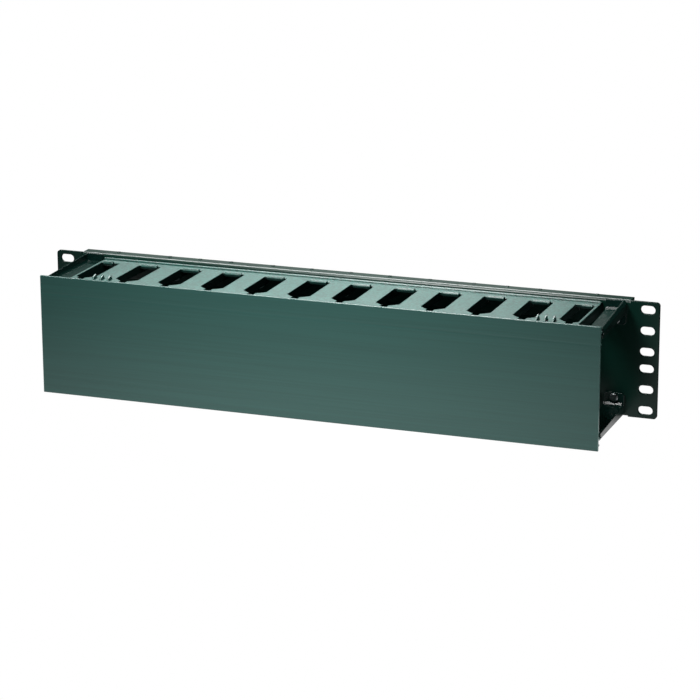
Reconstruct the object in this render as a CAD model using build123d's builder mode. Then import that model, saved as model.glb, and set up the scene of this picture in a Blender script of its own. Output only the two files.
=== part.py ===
from build123d import *
from math import cos, radians, sin
import os

os.makedirs("parts", exist_ok=True)

# Horizontal cable manager, two rack units high. A folded steel bracket bolts to the rack and carries
# an upper and a lower wall of moulded fingers, four end arms and a long snap-in hinged cover.
# X runs along the rack, Y towards its back and Z up. The origin is the middle of the rear face of the
# ears, the face that lies against the rack.

# Rack standard
panel_width = 482.6
rack_unit_height = 44.45
unit_count = 2
unit_gap = 0.8
slot_inset = 8.75
slot_pitch = 15.875
slot_length = 11.0
slot_height = 6.4

# Bracket sheet
sheet = 2.0
bend_radius = 1.0
ear_corner = 2.5
ear_width = 21.7
flange_depth = 11.0
pip_width = 2.4
pip_height = 0.5
pip_inset = 2.6
pip_place_shares = (0, 0.143, 0.287, 0.444, 0.562, 0.677, 0.875)

# Finger walls
window_count = 12
wall_inset = 21.2
window_width = 18.2
end_window_width = 14.85
wall_drop = 3.05
plate_thickness = 2.0
finger_reach = 71.4
window_back = 12.6
tip_depth = 11.4
window_corner = 4.6
tip_gap = 5.4
tip_corner = 1.2
shoulder_land = 0.4
rib_thickness = 1.6
rib_back_depth = 5.0
rib_front_depth = 3.0
end_rib_thickness = 1.8
end_rib_back_depth = 9.0
end_rib_front_depth = 6.0
web_thickness = 2.4
web_depth = 14.0
lip_setback = 3.0
lip_thickness = 2.0
lip_height = 1.5
lip_edge = 0.6
pull_bead_width = 3.0
pull_bead_height = 1.2
pull_bead_length = 13.0
pull_bead_overhang = 2.4
pull_bead_crown_share = 0.5
end_bead_length = 8.0
fin_count = 3
fin_thickness = 1.2
fin_spacing = 6.2
fin_height = 3.4
fin_length = 8.5
fin_setback = 4.7
fin_brow_share = 0.28
fin_brow_height_share = 0.62
fin_crown_share = 0.7

# Cover extrusion and its hinge beads
cover_inset = 1.85
cover_thickness = 2.2
cover_skirt = 3.55
cover_edge = 0.5
cover_gap = 3.9
bead_radius = 1.2
bead_drop = 5.0
bead_setback = 2.3
neck_thickness = 1.0
cover_rib_thickness = 1.2
cover_rib_depth = 2.0
cover_rib_inset = 13.5
foot_rib_inset = 3.6

# End arms
arm_gap = 3.1
arm_floor_thickness = 2.0
arm_floor_spread = 3.5
arm_fillet = 2.4
rail_back_inset = 2.7
rail_front_inset = 0.8
rail_thickness = 2.8
rail_bevel = 2.0
rail_drop = 0.05
rail_fall = 3.0
rail_depth = 7.0
foot_thickness = 2.0
foot_depth = 11.0
foot_chamfer = 1.6
socket_clearance = 0.22
socket_wall = 1.2
socket_body = 4.2
socket_lip_angle = 60.0
socket_reach = 1.4

# Rivets
rivet_sides = 12
rivet_radius = 1.6
rivet_clearance = 0.05
rivet_head_radius = 3.3
rivet_head_height = 1.4
rivet_head_bevel = 0.7
rivet_tail_radius = 2.5
rivet_tail_height = 1.0
foot_rivet_clearance = 0.3
wall_rivet_drop = 9.0
wall_rivet_fingers = (-4, -2, 0, 2, 4)

overrun = 5.0

# Sizes that follow from the values above
panel_height = unit_count * rack_unit_height - unit_gap
plate_face = -sheet
flange_width = panel_width - 2 * ear_width
flange_back = plate_face + flange_depth
wall_half_length = flange_width / 2 - wall_inset
end_window_edge = wall_half_length - end_rib_thickness - end_window_width
finger_pitch = (2 * end_window_edge + window_width) / (window_count - 1)
finger_tip = plate_face - finger_reach
wall_height = panel_height / 2 - wall_drop
plate_bottom = wall_height - plate_thickness
window_front = finger_reach - tip_depth
cover_back = finger_tip - cover_gap
cover_front = cover_back - cover_thickness
bead_y = cover_back + bead_setback
socket_radius = bead_radius + socket_clearance
socket_front = bead_y - socket_reach
socket_back = bead_y + socket_body
rail_back_height = panel_height / 2 - rail_drop
rail_front_height = rail_back_height - rail_fall
arm_floor_height = rail_back_height - rail_depth
cover_top = rail_back_height
cover_bottom = -panel_height / 2 - cover_skirt
bead_height = cover_top - bead_drop
socket_floor = bead_height - socket_radius
cover_length = flange_width - 2 * cover_inset
arm_inner_x = wall_half_length + arm_gap
arm_front_x = arm_inner_x + arm_floor_spread
rail_back_x = flange_width / 2 - rail_back_inset
rail_front_x = flange_width / 2 - rail_front_inset
foot_rivet_x = (arm_inner_x + rail_back_x) / 2
arm_floor_bottom = arm_floor_height - arm_floor_thickness
foot_bottom = arm_floor_height - foot_depth
foot_rivet_height = arm_floor_bottom - foot_chamfer - rivet_head_radius - foot_rivet_clearance
wall_rivet_height = wall_height - wall_rivet_drop
rivet_hole_radius = rivet_radius + rivet_clearance
lip_angle = radians(socket_lip_angle)

half_units = unit_count * rack_unit_height / 2
slot_heights = []
for unit in range(unit_count):
    unit_middle = -half_units + rack_unit_height * (unit + 1 / 2)
    slot_heights += [unit_middle - slot_pitch, unit_middle, unit_middle + slot_pitch]
slot_x = panel_width / 2 - slot_inset
slot_places = [(side * slot_x, height) for side in (-1, 1) for height in slot_heights]

pip_places = []
for share in pip_place_shares:
    pip_places.append(share * flange_width / 2)
    if share > 0:
        pip_places.append(-share * flange_width / 2)

window_places = [(n - (window_count - 1) / 2) * finger_pitch for n in range(window_count)]

foot_rivet_places = [
    (side * foot_rivet_x, level * foot_rivet_height) for side in (-1, 1) for level in (-1, 1)
]
wall_rivet_places = [
    (n * finger_pitch, level * wall_rivet_height) for n in wall_rivet_fingers for level in (-1, 1)
]

# Mounting bracket: one sheet with two ears, and a flange folded back along its top and bottom edges
with BuildPart() as mounting_bracket:
    with BuildSketch(Plane.YZ.offset(-flange_width / 2)) as channel:
        with Locations((plate_face, 0)):
            Rectangle(flange_depth, panel_height, align=(Align.MIN, Align.CENTER))
        fillet(channel.vertices().group_by(Axis.X)[0], bend_radius + sheet)
        with BuildSketch(mode=Mode.SUBTRACT) as hollow:
            Rectangle(flange_depth, panel_height - 2 * sheet, align=(Align.MIN, Align.CENTER))
            fillet(hollow.vertices().group_by(Axis.X)[0], bend_radius)
    extrude(amount=flange_width)
    with BuildSketch(Plane.XZ) as ears:
        with Locations((flange_width / 2, 0)):
            Rectangle(ear_width, panel_height, align=(Align.MIN, Align.CENTER))
        fillet(ears.vertices().group_by(Axis.X)[-1], ear_corner)
        mirror(about=Plane.YZ)
        with Locations(*slot_places):
            SlotOverall(slot_length, slot_height, mode=Mode.SUBTRACT)
    extrude(amount=sheet)
    with BuildSketch(Plane.XZ) as rivet_holes:
        with Locations(*foot_rivet_places, *wall_rivet_places):
            RegularPolygon(rivet_hole_radius, rivet_sides)
    extrude(amount=sheet, mode=Mode.SUBTRACT)
    with BuildSketch(Plane.XY.offset(panel_height / 2)) as pips:
        with Locations(*[(x, flange_back - pip_inset) for x in pip_places]):
            Rectangle(pip_width, pip_width)
    extrude(amount=pip_height)

# Opening between two fingers: a wide window and the narrow gap that leads to it from the front
with BuildSketch() as window_cut:
    with Locations((0, plate_face - window_back)):
        Rectangle(window_width, window_front - window_back, align=(Align.CENTER, Align.MAX))
    with Locations((0, plate_face - window_front + tip_corner)):
        Rectangle(tip_gap, finger_reach, align=(Align.CENTER, Align.MAX))
    front_corners = window_cut.vertices().group_by(Axis.Y)[1]
    chamfer(front_corners.filter_by(lambda corner: abs(corner.X) < tip_gap), tip_corner)
    window_corners = window_cut.vertices().filter_by(
        lambda corner: abs(abs(corner.X) - window_width / 2) < shoulder_land
        and corner.Y < plate_face - window_front + shoulder_land
    )
    shoulder = (window_width - tip_gap) / 2
    chamfer(window_corners, min(window_corner, shoulder - tip_corner - shoulder_land))

# Upper finger wall: one moulding of top plate, ribs turned down beside each window, back web and lip.
# The two end windows are cut short by the end ribs.
with BuildPart() as upper_finger_wall:
    with BuildSketch(Plane.XY.offset(plate_bottom)) as finger_plate:
        with Locations((0, plate_face)):
            Rectangle(2 * wall_half_length, finger_reach, align=(Align.CENTER, Align.MAX))
        with Locations(*[(x, 0) for x in window_places]):
            add(window_cut.sketch, mode=Mode.SUBTRACT)
        chamfer(finger_plate.vertices().group_by(Axis.Y)[0], tip_corner)
    extrude(amount=plate_thickness)

    inner_ribs = [x - window_width / 2 - rib_thickness for x in window_places[1:]]
    inner_ribs += [x + window_width / 2 for x in window_places[:-1]]
    with BuildSketch(*[Plane.YZ.offset(x) for x in inner_ribs]):
        Polygon(
            (plate_face, plate_bottom),
            (plate_face, plate_bottom - rib_back_depth),
            (plate_face - window_front, plate_bottom - rib_front_depth),
            (plate_face - window_front, plate_bottom),
            align=None,
        )
    extrude(amount=rib_thickness)
    with BuildSketch(*[Plane.YZ.offset(x) for x in (-wall_half_length, wall_half_length - end_rib_thickness)]):
        Polygon(
            (plate_face, wall_height),
            (plate_face, wall_height - end_rib_back_depth),
            (finger_tip + tip_corner, wall_height - end_rib_front_depth),
            (finger_tip + tip_corner, wall_height),
            align=None,
        )
    extrude(amount=end_rib_thickness)

    with BuildSketch(Plane.YZ.offset(-wall_half_length)) as web_and_lip:
        with Locations((plate_face, wall_height)):
            Rectangle(web_thickness, web_depth, align=(Align.MAX, Align.MAX))
        with Locations((plate_face - lip_setback, wall_height + lip_height)):
            Rectangle(lip_thickness, lip_height + plate_thickness, align=(Align.MAX, Align.MAX))
        chamfer(web_and_lip.vertices().group_by(Axis.Y)[-1], lip_edge)
    extrude(amount=2 * wall_half_length)

    bead_middle = plate_face - window_back - pull_bead_overhang + pull_bead_width / 2
    bead_crown = pull_bead_crown_share * pull_bead_width / 2
    end_places = [window_places[0], window_places[-1]]
    for places, length in ((window_places[1:-1], pull_bead_length), (end_places, end_bead_length)):
        with BuildSketch(*[Plane.YZ.offset(x - length / 2) for x in places]):
            Polygon(
                (bead_middle - pull_bead_width / 2, plate_bottom),
                (bead_middle - pull_bead_width / 2, wall_height),
                (bead_middle - bead_crown, wall_height + pull_bead_height),
                (bead_middle + bead_crown, wall_height + pull_bead_height),
                (bead_middle + pull_bead_width / 2, wall_height),
                (bead_middle + pull_bead_width / 2, plate_bottom),
                align=None,
            )
        extrude(amount=length)

    fin_front = finger_tip + fin_setback
    end_finger_x = (window_count / 2 - 1) * finger_pitch
    fin_places = []
    for n in range(fin_count):
        fin_shift = (n - (fin_count - 1) / 2) * fin_spacing - fin_thickness / 2
        fin_places += [end_finger_x + fin_shift, -end_finger_x + fin_shift]
    with BuildSketch(*[Plane.YZ.offset(x) for x in fin_places]):
        Polygon(
            (fin_front, plate_bottom),
            (fin_front, wall_height),
            (fin_front + fin_brow_share * fin_length, wall_height + fin_brow_height_share * fin_height),
            (fin_front + fin_crown_share * fin_length, wall_height + fin_height),
            (fin_front + fin_length, wall_height),
            (fin_front + fin_length, plate_bottom),
            align=None,
        )
    extrude(amount=fin_thickness)

    with BuildSketch(Plane.XZ.offset(-plate_face)) as wall_rivet_holes:
        with Locations(*[place for place in wall_rivet_places if place[1] > 0]):
            RegularPolygon(rivet_hole_radius, rivet_sides)
    extrude(amount=web_thickness, mode=Mode.SUBTRACT)

with BuildPart() as lower_finger_wall:
    mirror(upper_finger_wall.part, about=Plane.XY)

# End arm, upper right: a gutter with a tall outer rail, a riveted foot across its root and a hinge
# socket across its front end. The rail is bevelled outside, and spreads and drops towards the front.
with BuildPart() as upper_right_arm:
    with BuildSketch(Plane.XY.offset(arm_floor_bottom)):
        Polygon(
            (rail_back_x, plate_face),
            (rail_back_x - rail_thickness, plate_face),
            (rail_front_x - rail_thickness, socket_front),
            (rail_front_x, socket_front),
            align=None,
        )
    extrude(amount=rail_back_height - arm_floor_bottom)
    with BuildSketch(Plane.YZ.offset(arm_inner_x)):
        Polygon(
            (plate_face, rail_back_height),
            (plate_face, rail_back_height + overrun),
            (socket_front, rail_back_height + overrun),
            (socket_front, rail_front_height),
            align=None,
        )
    extrude(amount=rail_front_x - arm_inner_x + overrun, mode=Mode.SUBTRACT)
    outer_face = upper_right_arm.faces().sort_by(Axis.X)[-1]
    chamfer(outer_face.edges().sort_by(Axis.Z)[-1], rail_bevel)
    with BuildSketch(Plane.XY.offset(arm_floor_bottom)):
        Polygon(
            (arm_inner_x, plate_face),
            (rail_back_x, plate_face),
            (rail_front_x, socket_front),
            (arm_front_x, socket_front),
            align=None,
        )
    extrude(amount=arm_floor_thickness)
    floor_and_rail = upper_right_arm.edges().filter_by(
        lambda edge: abs(edge.center().Z - arm_floor_height) < arm_floor_thickness / 2
        and edge.length > finger_reach / 2
        and arm_inner_x + arm_gap < edge.center().X
        and edge.center().X < (rail_back_x + rail_front_x - rail_thickness) / 2
    )
    fillet(floor_and_rail, arm_fillet)
    with BuildSketch(Plane.XZ.offset(-plate_face)) as foot:
        with Locations((arm_inner_x, foot_bottom)):
            Rectangle(rail_back_x - arm_inner_x, rail_back_height - foot_bottom, align=(Align.MIN, Align.MIN))
        chamfer(foot.vertices().group_by(Axis.Y)[-1].sort_by(Axis.X)[-1], rail_bevel)
        chamfer(foot.vertices().group_by(Axis.Y)[0], foot_chamfer)
        with Locations((foot_rivet_x, foot_rivet_height)):
            RegularPolygon(rivet_hole_radius, rivet_sides, mode=Mode.SUBTRACT)
    extrude(amount=foot_thickness)
    with BuildSketch(Plane.YZ.offset(arm_inner_x)):
        Polygon(
            (plate_face - foot_thickness, arm_floor_bottom - foot_chamfer),
            (plate_face - foot_thickness, arm_floor_height + foot_chamfer),
            (plate_face - foot_thickness - foot_chamfer, arm_floor_height),
            (plate_face - foot_thickness - foot_chamfer, arm_floor_bottom),
            align=None,
        )
    extrude(amount=rail_back_x - rail_thickness / 2 - arm_inner_x)
    with BuildSketch(Plane.YZ.offset(arm_front_x)):
        with Locations((socket_front, rail_front_height)):
            Rectangle(
                socket_back - socket_front,
                rail_front_height - socket_floor + socket_wall,
                align=(Align.MIN, Align.MAX),
            )
    extrude(amount=rail_front_x - rail_thickness / 2 - arm_front_x)
    with BuildSketch(Plane.YZ.offset(arm_inner_x - overrun)):
        with Locations((bead_y, bead_height)):
            Circle(socket_radius)
            Polygon(
                (0, -socket_radius),
                (-overrun, -socket_radius),
                (-overrun, overrun),
                (overrun * cos(lip_angle), overrun * sin(lip_angle)),
                (0, 0),
                align=None,
            )
    extrude(amount=rail_front_x - arm_inner_x + 2 * overrun, mode=Mode.SUBTRACT)

with BuildPart() as upper_left_arm:
    mirror(upper_right_arm.part, about=Plane.YZ)

with BuildPart() as lower_right_arm:
    mirror(upper_right_arm.part, about=Plane.XY)

with BuildPart() as lower_left_arm:
    mirror(upper_left_arm.part, about=Plane.XY)

# Front cover: one extrusion with a hinge bead along its top and bottom and three stiffening ribs inside
with BuildPart() as front_cover:
    with BuildSketch(Plane.YZ.offset(-cover_length / 2)) as cover_section:
        with Locations((cover_front, cover_top)):
            Rectangle(cover_thickness, cover_top - cover_bottom, align=(Align.MIN, Align.MAX))
        fillet(cover_section.vertices(), cover_edge)
        for level in (-1, 1):
            with Locations((bead_y, level * bead_height)):
                Circle(bead_radius)
            with Locations((cover_back, level * bead_height)):
                Rectangle(bead_setback, neck_thickness, align=(Align.MIN, Align.CENTER))
        rib_heights = (cover_top - cover_rib_inset, cover_bottom + cover_rib_inset, cover_bottom + foot_rib_inset)
        with Locations(*[(cover_back, height) for height in rib_heights]):
            Rectangle(cover_rib_depth, cover_rib_thickness, align=(Align.MIN, Align.CENTER))
    extrude(amount=cover_length)


def rivet(x, z, grip):
    """Rivet through the plate: the bevelled head lies on the moulding, the tail behind the sheet."""
    under_head = Plane.XZ.offset(sheet + grip)
    with BuildPart() as body:
        with BuildSketch(under_head):
            RegularPolygon(rivet_head_radius, rivet_sides)
        extrude(amount=rivet_head_height)
        chamfer(body.faces().sort_by(Axis.Y)[0].edges(), rivet_head_bevel)
        with BuildSketch(under_head):
            RegularPolygon(rivet_radius, rivet_sides)
        extrude(amount=-sheet - grip)
        with BuildSketch(Plane.XZ):
            RegularPolygon(rivet_tail_radius, rivet_sides)
        extrude(amount=-rivet_tail_height)
    return body.part.moved(Location((x, 0, z)))


pieces = {
    "mounting_bracket": mounting_bracket.part,
    "upper_finger_wall": upper_finger_wall.part,
    "lower_finger_wall": lower_finger_wall.part,
    "upper_left_arm": upper_left_arm.part,
    "upper_right_arm": upper_right_arm.part,
    "lower_left_arm": lower_left_arm.part,
    "lower_right_arm": lower_right_arm.part,
    "front_cover": front_cover.part,
}
for n, (x, z) in enumerate(foot_rivet_places, start=1):
    pieces[f"arm_rivet_{n}"] = rivet(x, z, foot_thickness)
for n, (x, z) in enumerate(wall_rivet_places, start=1):
    pieces[f"wall_rivet_{n}"] = rivet(x, z, web_thickness)

for name, piece in pieces.items():
    piece.label = name
    export_step(piece, f"parts/{name}.step")
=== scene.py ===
import math

import bpy
from mathutils import Matrix, Vector


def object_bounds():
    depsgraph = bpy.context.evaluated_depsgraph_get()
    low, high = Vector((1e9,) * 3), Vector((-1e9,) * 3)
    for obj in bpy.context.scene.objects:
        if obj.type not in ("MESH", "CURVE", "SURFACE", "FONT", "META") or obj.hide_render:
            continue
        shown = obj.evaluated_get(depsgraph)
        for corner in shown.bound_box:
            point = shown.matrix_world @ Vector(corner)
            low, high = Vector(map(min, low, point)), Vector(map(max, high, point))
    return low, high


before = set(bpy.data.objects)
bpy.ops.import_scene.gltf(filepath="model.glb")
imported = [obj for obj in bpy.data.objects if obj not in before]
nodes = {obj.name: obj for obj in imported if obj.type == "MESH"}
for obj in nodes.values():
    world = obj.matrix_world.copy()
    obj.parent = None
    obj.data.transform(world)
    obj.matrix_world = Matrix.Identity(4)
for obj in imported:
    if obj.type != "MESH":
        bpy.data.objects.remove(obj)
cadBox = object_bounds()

mm = 0.001
bevelSamples = 6    # rays that soften an edge in the shading


# Colours and nodes

def linear(hexColour):
    # sRGB hex to the linear values that the shaders use
    channels = [int(hexColour[i:i + 2], 16) / 255 for i in (1, 3, 5)]
    return [c / 12.92 if c <= 0.04045 else ((c + 0.055) / 1.055) ** 2.4 for c in channels] + [1.0]


def addNode(tree, kind, settings=None, stops=(), **links):
    # one node: settings are its own properties, stops the places and colours of a colour ramp, links
    # are values or sockets for its inputs, by name with _ for a space, or by number as i0, i1
    node = tree.nodes.new(kind)
    for key, value in (settings or {}).items():
        setattr(node, key, value)
    for number, (position, colour) in enumerate(stops):
        node.color_ramp.elements[number].position = position
        node.color_ramp.elements[number].color = linear(colour)
    for key, value in links.items():
        numbered = key[0] == "i" and key[1:].isdigit()
        socket = node.inputs[int(key[1:]) if numbered else key.replace("_", " ")]
        if isinstance(value, bpy.types.NodeSocket):
            tree.links.new(value, socket)
        else:
            socket.default_value = value
    return node


def newMaterial(name):
    material = bpy.data.materials.new(name)
    material.use_nodes = True
    material.node_tree.nodes.clear()
    return material, material.node_tree


# Powder-coated sheet steel: baked polyester powder, so a soft sheen over a fine orange peel
powderCoat = {
    "colour": "#08261f",
    "paleColour": "#0a2d25",
    "blend": (0.3, 0.7),   # of the drift noise, from the one colour to the other
    "driftMm": 1000 / 14,  # faint pale patches, 14 to the metre
    "roughness": 0.28,
    "specular": 0.25,
    "peelMm": 1.1,         # real peel is about 0.6 mm, drawn coarser so that it shows
    "peelDepthMm": 0.004,
    "edgeMm": 1.2,
}


def powderCoatedSteel():
    look = powderCoat
    material, tree = newMaterial("powderCoatedSteel")
    place = addNode(tree, "ShaderNodeTexCoord").outputs["Object"]
    peel = addNode(tree, "ShaderNodeTexNoise", Vector=place, Scale=1 / (look["peelMm"] * mm), Detail=3.0)
    drift = addNode(tree, "ShaderNodeTexNoise", Vector=place, Scale=1 / (look["driftMm"] * mm), Detail=2.0)
    colour = addNode(tree, "ShaderNodeValToRGB", Fac=drift.outputs["Fac"],
                     stops=zip(look["blend"], (look["colour"], look["paleColour"])))
    edge = addNode(tree, "ShaderNodeBevel", {"samples": bevelSamples}, Radius=look["edgeMm"] * mm)
    bump = addNode(tree, "ShaderNodeBump", Height=peel.outputs["Fac"], Strength=0.5,
                   Distance=look["peelDepthMm"] * mm, Normal=edge.outputs[0])
    shader = addNode(tree, "ShaderNodeBsdfPrincipled", Base_Color=colour.outputs[0],
                     Roughness=look["roughness"], Specular_IOR_Level=look["specular"], Normal=bump.outputs[0])
    addNode(tree, "ShaderNodeOutputMaterial", Surface=shader.outputs[0])
    return material


# Injection-moulded ABS: a spark-eroded mould leaves a fine even grain on the outside, with faint flow
# marks. All that lies inwards of the top plate's outer face is painted darker, a painted shade for the inside
# of the duct.
mouldedAbs = {
    "colour": "#143a35",
    "paleColour": "#285f56",
    "blend": (0.35, 0.65),        # of the grain noise, from the one colour to the other
    # painted shade: the inside of the duct is given this darker colour
    "paintedShadeColour": "#0a2723",
    "paintedShadeHeightMm": 40.7,         # the plate's outer face is at 41.0
    "roughness": (0.34, 0.44),    # least and most, as the flow marks run
    "specular": 0.7,
    "flowMm": 1000 / 30,          # flow marks, 30 to the metre
    "grainMm": 1.6,               # a spark grain is about 0.2 mm, drawn coarser so that it shows
    "grainDepthMm": 0.040,
    "edgeMm": 0.9,
}
# The end arms come from a polished mould: darker and glossier, with flow marks but hardly any grain
polishedAbs = {
    "colour": "#09241f",
    "paleColour": "#0b2a25",
    "blend": (0.35, 0.65),
    # painted shade: below the floors the arms take this darker colour
    "paintedShadeColour": "#092521",
    "paintedShadeHeightMm": 34.9,         # the arms' floors start at 35.0
    "roughness": (0.20, 0.30),
    "specular": 0.5,
    "flowMm": 1000 / 30,
    "grainMm": 1.6,
    "grainDepthMm": 0.004,
    "edgeMm": 0.6,
}


def sparkGrainAbs(name, look):
    material, tree = newMaterial(name)
    place = addNode(tree, "ShaderNodeTexCoord").outputs["Object"]
    grain = addNode(tree, "ShaderNodeTexNoise", Vector=place, Scale=1 / (look["grainMm"] * mm), Detail=4.0)
    skin = addNode(tree, "ShaderNodeValToRGB", Fac=grain.outputs["Fac"],
                   stops=zip(look["blend"], (look["colour"], look["paleColour"])))
    # painted shade: inwards of the given height the darker shade colour replaces the grained skin
    height = addNode(tree, "ShaderNodeSeparateXYZ", Vector=place).outputs["Z"]
    height = addNode(tree, "ShaderNodeMath", {"operation": "ABSOLUTE"}, i0=height)
    outside = addNode(tree, "ShaderNodeMath", {"operation": "GREATER_THAN"}, i0=height.outputs[0],
                      i1=look["paintedShadeHeightMm"] * mm)
    colour = addNode(tree, "ShaderNodeMix", {"data_type": "RGBA"}, Factor=outside.outputs[0],
                     i6=linear(look["paintedShadeColour"]), i7=skin.outputs[0])
    flow = addNode(tree, "ShaderNodeTexNoise", Vector=place, Scale=1 / (look["flowMm"] * mm), Detail=3.0,
                   Distortion=1.2)
    leastRoughness, mostRoughness = look["roughness"]
    rough = addNode(tree, "ShaderNodeMapRange", Value=flow.outputs["Fac"], To_Min=leastRoughness,
                    To_Max=mostRoughness)
    edge = addNode(tree, "ShaderNodeBevel", {"samples": bevelSamples}, Radius=look["edgeMm"] * mm)
    bump = addNode(tree, "ShaderNodeBump", Height=grain.outputs["Fac"], Strength=0.5,
                   Distance=look["grainDepthMm"] * mm, Normal=edge.outputs[0])
    shader = addNode(tree, "ShaderNodeBsdfPrincipled", Base_Color=colour.outputs[2],
                     Roughness=rough.outputs[0], Specular_IOR_Level=look["specular"], Normal=bump.outputs[0])
    addNode(tree, "ShaderNodeOutputMaterial", Surface=shader.outputs[0])
    return material


# Extruded PVC: the die leaves long faint lines along the length and shallow sinks over the inner ribs.
# The two ends are sawn. Their faces are painted paler, a painted light standing in for light from the right.
extrudedPvc = {
    "colour": "#234d47",
    "paleColour": "#27544e",
    "blend": (0.3, 0.7),          # of the line noise, from the one colour to the other
    # painted light: the end faces are given this paler colour, in place of light from the right
    "paintedEndLightColour": "#5f8a83",
    "paintedEndLightAtMm": 217.5,            # the end faces are at 217.75
    "roughness": 0.34,
    "specular": 0.6,
    "lineMm": 1.4,                # height of one die line
    "lineRunMm": 160.0,           # how far one runs
    "lineDepthMm": 0.010,
    "sinkHeightsMm": (30.5, -34.1, -44.0),    # the three inner ribs
    "sinkWidthMm": 1.6,
    "sinkDepthMm": 0.03,
    "edgeMm": 0.9,
}


def dieLinedPvc():
    look = extrudedPvc
    material, tree = newMaterial("dieLinedPvc")
    place = addNode(tree, "ShaderNodeTexCoord").outputs["Object"]
    along, across = 1 / (look["lineRunMm"] * mm), 1 / (look["lineMm"] * mm)
    stretched = addNode(tree, "ShaderNodeMapping", Vector=place, Scale=(along, across, across))
    lines = addNode(tree, "ShaderNodeTexNoise", Vector=stretched.outputs[0], Scale=1.0, Detail=3.0)
    skin = addNode(tree, "ShaderNodeValToRGB", Fac=lines.outputs["Fac"],
                   stops=zip(look["blend"], (look["colour"], look["paleColour"])))
    axes = addNode(tree, "ShaderNodeSeparateXYZ", Vector=place)
    outwards = addNode(tree, "ShaderNodeMath", {"operation": "ABSOLUTE"}, i0=axes.outputs["X"])
    # painted light: the end faces beyond this distance take the paler colour
    litEndMask = addNode(tree, "ShaderNodeMath", {"operation": "GREATER_THAN"}, i0=outwards.outputs[0],
                   i1=look["paintedEndLightAtMm"] * mm)
    colour = addNode(tree, "ShaderNodeMix", {"data_type": "RGBA"}, Factor=litEndMask.outputs[0],
                     i6=skin.outputs[0], i7=linear(look["paintedEndLightColour"]))
    level = 1.0    # of the front face: falls to 0 in the middle of a sink
    for sink in look["sinkHeightsMm"]:
        away = addNode(tree, "ShaderNodeMath", {"operation": "SUBTRACT"}, i0=axes.outputs["Z"], i1=sink * mm)
        away = addNode(tree, "ShaderNodeMath", {"operation": "ABSOLUTE"}, i0=away.outputs[0])
        trough = addNode(tree, "ShaderNodeMapRange", {"interpolation_type": "SMOOTHSTEP"},
                         Value=away.outputs[0], From_Max=look["sinkWidthMm"] * mm)
        level = addNode(tree, "ShaderNodeMath", {"operation": "MULTIPLY"}, i0=level,
                        i1=trough.outputs[0]).outputs[0]
    edge = addNode(tree, "ShaderNodeBevel", {"samples": bevelSamples}, Radius=look["edgeMm"] * mm)
    sunk = addNode(tree, "ShaderNodeBump", Height=level, Strength=1.0, Distance=look["sinkDepthMm"] * mm,
                   Normal=edge.outputs[0])
    bump = addNode(tree, "ShaderNodeBump", Height=lines.outputs["Fac"], Strength=0.6,
                   Distance=look["lineDepthMm"] * mm, Normal=sunk.outputs[0])
    shader = addNode(tree, "ShaderNodeBsdfPrincipled", Base_Color=colour.outputs[2],
                     Roughness=look["roughness"], Specular_IOR_Level=look["specular"], Normal=bump.outputs[0])
    addNode(tree, "ShaderNodeOutputMaterial", Surface=shader.outputs[0])
    return material


# Zinc-plated steel rivets: bright metal, a little clouded
zincPlate = {
    "colour": "#aab0b2",
    "dullColour": "#868d8f",
    "blend": (0.35, 0.65),    # of the cloud noise, from the dull colour to the bright one
    "roughness": 0.34,
    "cloudMm": 1.5,
}


def zincPlatedSteel():
    look = zincPlate
    material, tree = newMaterial("zincPlatedSteel")
    place = addNode(tree, "ShaderNodeTexCoord").outputs["Object"]
    cloud = addNode(tree, "ShaderNodeTexNoise", Vector=place, Scale=1 / (look["cloudMm"] * mm), Detail=3.0)
    colour = addNode(tree, "ShaderNodeValToRGB", Fac=cloud.outputs["Fac"],
                     stops=zip(look["blend"], (look["dullColour"], look["colour"])))
    shader = addNode(tree, "ShaderNodeBsdfPrincipled", Base_Color=colour.outputs[0], Metallic=1.0,
                     Roughness=look["roughness"])
    addNode(tree, "ShaderNodeOutputMaterial", Surface=shader.outputs[0])
    return material


def dress():
    steel = powderCoatedSteel()
    fingers = sparkGrainAbs("sparkGrainAbs", mouldedAbs)
    arms = sparkGrainAbs("polishedMouldAbs", polishedAbs)
    cover = dieLinedPvc()
    rivets = zincPlatedSteel()
    for name, piece in nodes.items():
        if "rivet" in name:
            finish = rivets
        elif "bracket" in name:
            finish = steel
        elif "cover" in name:
            finish = cover
        elif "arm" in name:
            finish = arms
        else:
            finish = fingers
        piece.data.materials.clear()
        piece.data.materials.append(finish)


# Studio: a light table that glows below and in front of the object and fades outwards, in a room that
# is dark, so that edges catch the glow and the lamps while the insides stay black. Places in metres.
studio = {
    "tableSize": 6.0,
    "glow": 1.1,                    # brightness of the table at the middle of the glow
    "glowPlace": (0.03, -0.12),
    "glowReach": (0.70, 0.46),
    "clothEdge": (-0.02, 0.03),     # from here to here, towards the back, a black cloth hides the glow
    "maskPlace": (0.0, -0.038),     # a dark patch under the duct keeps the glow out of the lower windows
    "maskReach": (0.21, 0.045),
    "maskStart": 0.8,               # share of the reach that is fully dark
    "darkness": 0.005,              # brightness of the dark room
}


def spot(tree, place, middle, reach, start, inside, outside):
    # a soft oval patch: inside its start share of the reach one value, outside the reach the other
    shift = [-m / r for m, r in zip(middle, reach)]
    scaled = addNode(tree, "ShaderNodeMapping", Vector=place, Scale=(1 / reach[0], 1 / reach[1], 1.0),
                     Location=(shift[0], shift[1], 0.0))
    away = addNode(tree, "ShaderNodeVectorMath", {"operation": "LENGTH"}, i0=scaled.outputs[0])
    patch = addNode(tree, "ShaderNodeMapRange", {"interpolation_type": "SMOOTHSTEP"},
                    Value=away.outputs["Value"], From_Min=start, To_Min=inside, To_Max=outside)
    return patch.outputs[0]


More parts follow.
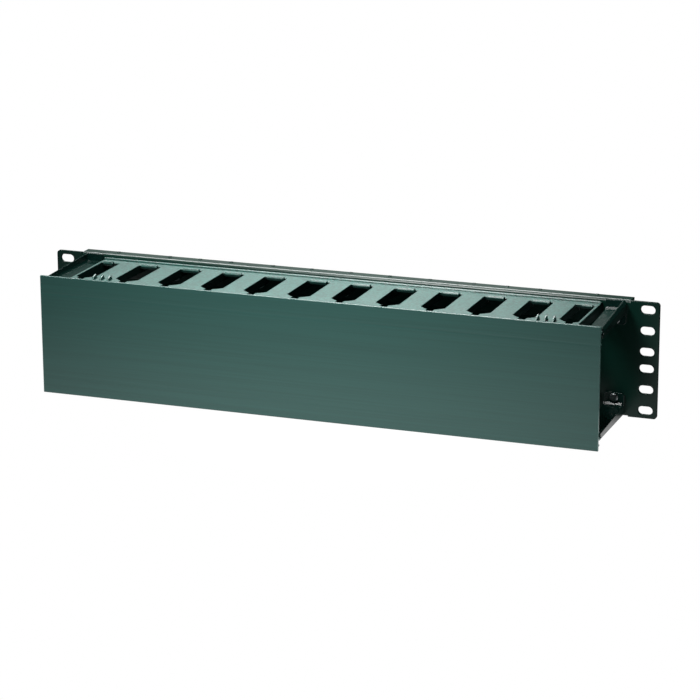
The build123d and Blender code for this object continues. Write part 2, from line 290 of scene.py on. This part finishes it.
def table():
    material, tree = newMaterial("glowingTable")
    place = addNode(tree, "ShaderNodeTexCoord").outputs["Object"]
    glow = spot(tree, place, studio["glowPlace"], studio["glowReach"], 0.0, studio["glow"], 0.0)
    mask = spot(tree, place, studio["maskPlace"], studio["maskReach"], studio["maskStart"], 0.0, 1.0)
    axes = addNode(tree, "ShaderNodeSeparateXYZ", Vector=place)
    clothStart, clothEnd = studio["clothEdge"]
    bare = addNode(tree, "ShaderNodeMapRange", {"interpolation_type": "SMOOTHSTEP"}, Value=axes.outputs["Y"],
                   From_Min=clothStart, From_Max=clothEnd, To_Min=1.0, To_Max=0.0)
    bright = addNode(tree, "ShaderNodeMath", {"operation": "MULTIPLY"}, i0=glow, i1=mask)
    bright = addNode(tree, "ShaderNodeMath", {"operation": "MULTIPLY"}, i0=bright.outputs[0],
                     i1=bare.outputs[0])
    path = addNode(tree, "ShaderNodeLightPath")    # the camera itself sees a plain white table
    seen = addNode(tree, "ShaderNodeMath", {"operation": "MAXIMUM"}, i0=path.outputs["Is Camera Ray"],
                   i1=bright.outputs[0])
    shader = addNode(tree, "ShaderNodeEmission", Strength=seen.outputs[0])
    addNode(tree, "ShaderNodeOutputMaterial", Surface=shader.outputs[0])
    half = studio["tableSize"] / 2
    corners = [(-half, -half, 0), (half, -half, 0), (half, half, 0), (-half, half, 0)]
    mesh = bpy.data.meshes.new("glowingTable")
    mesh.from_pydata(corners, [], [(0, 1, 2, 3)])
    plane = bpy.data.objects.new("glowingTable", mesh)
    plane.location.z = cadBox[0][2]
    plane.data.materials.append(material)
    bpy.context.scene.collection.objects.link(plane)


def room():
    world = bpy.data.worlds.new("room")
    world.use_nodes = True
    tree = world.node_tree
    tree.nodes.clear()
    path = addNode(tree, "ShaderNodeLightPath")    # the room is bright to the camera only
    seen = addNode(tree, "ShaderNodeMapRange", Value=path.outputs["Is Camera Ray"],
                   To_Min=studio["darkness"])
    shader = addNode(tree, "ShaderNodeBackground", Strength=seen.outputs[0])
    addNode(tree, "ShaderNodeOutputWorld", Surface=shader.outputs[0])
    bpy.context.scene.world = world


# Soft lamps: places, aims and sizes in metres, spread in degrees, power in watts
lamps = {
    "horizonSoftbox": {    # low and far behind the left half
        "place": (-0.44, 1.15, 0.37),
        "aim": (0.0, -0.04, 0.03),
        "size": (0.60, 0.30),
        "spread": 180,
        "power": 0.30,
    },
    "rearSoftbox": {    # high behind the left half, kept narrow
        "place": (-0.26, 0.42, 0.66),
        "aim": (0.0, -0.04, 0.0),
        "size": (0.60, 0.30),
        "spread": 52,
        "power": 1.4,
    },
    "topSoftbox": {    # above, a little in front
        "place": (-0.10, -0.30, 0.60),
        "aim": (0.02, -0.05, 0.0),
        "size": (0.24, 0.24),
        "spread": 70,
        "power": 1.25,
    },
    "sideSoftbox": {    # large, far out to the left and in front
        "place": (-1.50, -0.60, 0.70),
        "aim": (0.0, 0.0, 0.0),
        "size": (0.8, 0.8),
        "spread": 180,
        "power": 3.0,
    },
}


def light():
    for name, setup in lamps.items():
        lamp = bpy.data.lights.new(name, "AREA")
        lamp.shape = "RECTANGLE"
        lamp.size, lamp.size_y = setup["size"]
        lamp.spread = math.radians(setup["spread"])
        lamp.energy = setup["power"]
        holder = bpy.data.objects.new(name, lamp)
        holder.location = setup["place"]
        beam = Vector(setup["aim"]) - Vector(setup["place"])
        holder.rotation_euler = beam.to_track_quat("-Z", "Y").to_euler()
        bpy.context.scene.collection.objects.link(holder)


# Camera, solved on the slots and corners of the ears. The place is in metres, the lens and sensor in mm.
view = {
    "place": (0.68057, -1.84949, 0.54722),
    "forward": (-0.33137, 0.90276, -0.27424),
    "right": (0.93897, 0.34400, -0.00217),
    "lens": 138.84,
    "sensor": 36.0,
    "nearest": 0.05,
    "farthest": 50.0,
}


def setCamera():
    camera = bpy.data.cameras.new("camera")
    camera.lens = view["lens"]
    camera.sensor_width = view["sensor"]
    camera.clip_start = view["nearest"]
    camera.clip_end = view["farthest"]
    back = -Vector(view["forward"]).normalized()
    right = Vector(view["right"]).normalized()
    up = back.cross(right)
    holder = bpy.data.objects.new("camera", camera)
    holder.matrix_world = Matrix.Translation(view["place"]) @ Matrix((right, up, back)).transposed().to_4x4()
    bpy.context.scene.collection.objects.link(holder)
    bpy.context.scene.camera = holder


setCamera()
print("camera set")
dress()
print("finishes on")
table()
room()
light()
print("studio lit")
bpy.context.scene.view_settings.view_transform = "Standard"
